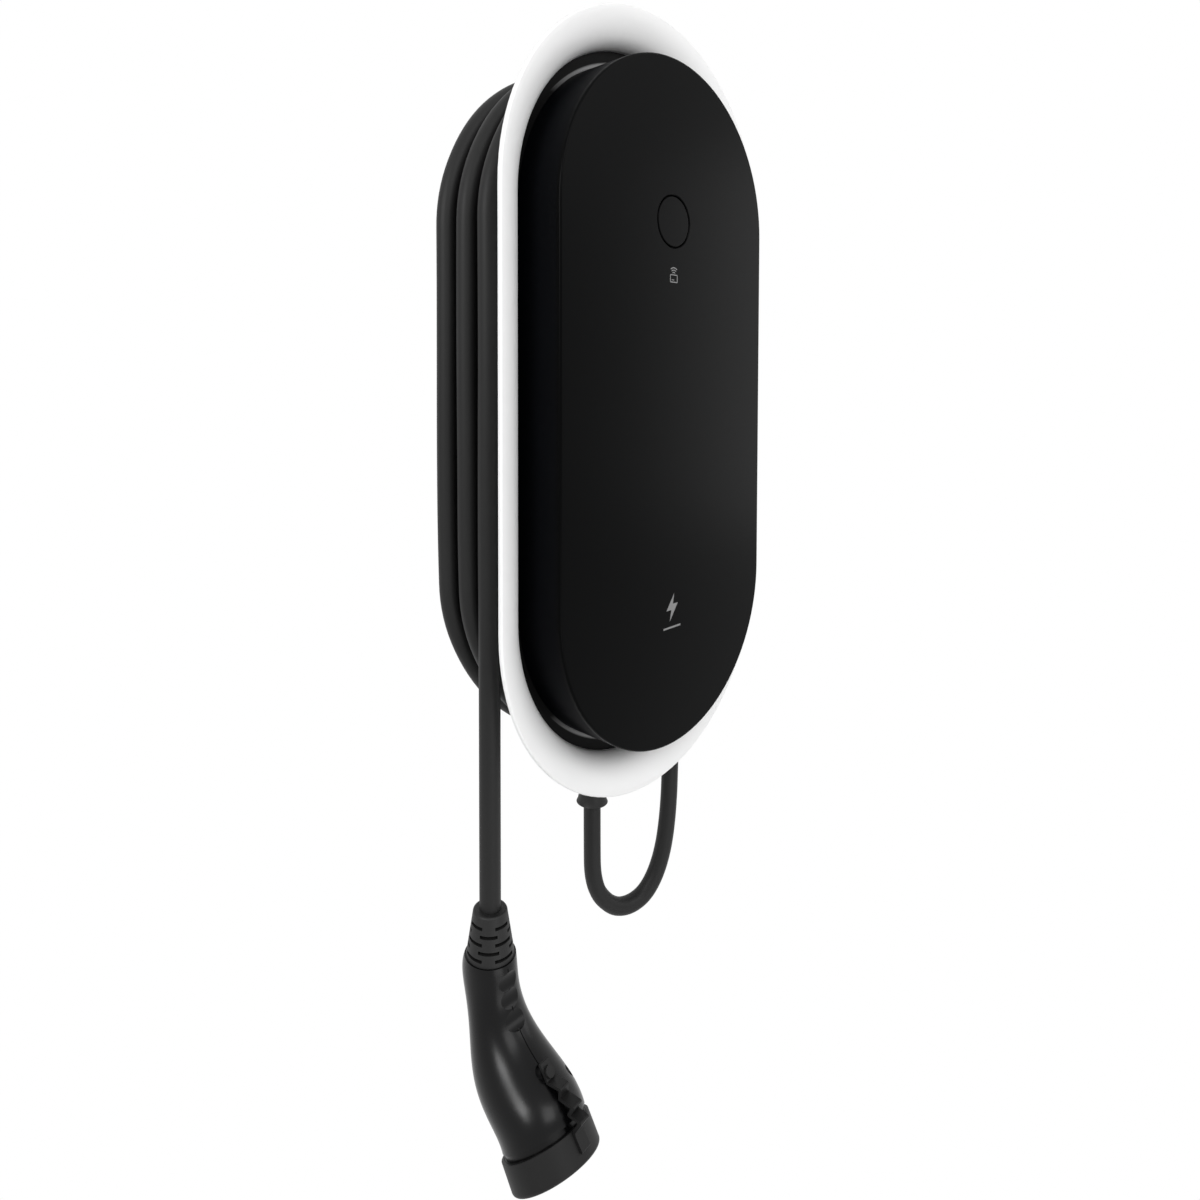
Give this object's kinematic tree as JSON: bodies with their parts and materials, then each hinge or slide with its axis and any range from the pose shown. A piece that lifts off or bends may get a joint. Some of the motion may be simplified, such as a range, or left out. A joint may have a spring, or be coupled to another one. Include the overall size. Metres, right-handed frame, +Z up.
{
  "type": "electric car charging wallbox",
  "caption": "Tall wall-mounted electric car charger: dark rounded body in a white dished ring, charging cable wound behind it, capped connector hanging at the side.",
  "frame": {"origin": "on the wall face of the bracket, level with the middle of the white ring", "axes": "+X to the right seen from the front, +Y into the wall, +Z up"},
  "size_m": [0.2709, 0.1455, 0.6924],
  "materials": {
    "bracket_plastic": "matte",
    "housing_plastic": "fine texture",
    "soft_rubber": "matte",
    "zinc_steel": "zinc plated",
    "ring_white": "satin white",
    "body_black": "satin black",
    "board_green": "solder mask",
    "frosted_guide": "frosted translucent",
    "panel_black": "satin black",
    "button_black": "satin black",
    "inner_plastic": "plain",
    "spring_steel": "bright",
    "device_grey": "light grey",
    "gland_plastic": "matte black",
    "wire_insulation": "plain",
    "cable_sheath": "matte black",
    "handle_black": "satin black",
    "carrier_black": "plain black",
    "contact_brass": "silver plated",
    "cap_rubber": "matte black"
  },
  "bodies": {
    "wallbox": {"bend_relief": "soft_rubber", "board_screws": "zinc_steel", "body_shell": "body_black", "button_seat": "inner_plastic", "button_spring": "spring_steel", "button_switch": "inner_plastic", "cable_ring": "ring_white", "cap_strap": "cap_rubber", "clamp_screws": "zinc_steel", "contact_carrier": "carrier_black", "contact_sleeves": "contact_brass", "contactor": "device_grey", "control_board": "board_green", "cord_clamp": "inner_plastic", "cord_coil": "cable_sheath", "cord_drop": "cable_sheath", "cord_loop": "cable_sheath", "cover_gasket": "soft_rubber", "din_rail": "zinc_steel", "fault_current_sensor": "device_grey", "front_cover": "panel_black", "gland_body": "gland_plastic", "gland_nut": "gland_plastic", "gland_trumpet": "soft_rubber", "handle_left": "handle_black", "handle_right": "handle_black", "handle_screws": "zinc_steel", "housing_screws": "zinc_steel", "inner_wires": "wire_insulation", "led_strip": "board_green", "light_guide": "frosted_guide", "power_supply": "device_grey", "reader_antenna": "board_green", "rear_housing": "housing_plastic", "strap_peg": "cap_rubber", "supply_grommet": "soft_rubber", "terminal_block": "device_grey", "wall_bracket": "bracket_plastic"},
    "button": {"push_button": "button_black"},
    "cap": {"protective_cap": "cap_rubber"}
  },
  "joints": [
    {"name": "button_press", "type": "slide", "parent": "wallbox", "child": "button", "axis": [0, 1, 0], "range_m": [0, 0.0015], "stiffness_N_per_m": 900, "springref_m": -0.001, "deforming": ["button_spring"]},
    {"name": "cap_pull", "type": "slide", "parent": "wallbox", "child": "cap", "axis": [0, -0.6088, -0.7934], "range_m": [0, 0.022], "deforming": ["cap_strap"]}
  ]
}
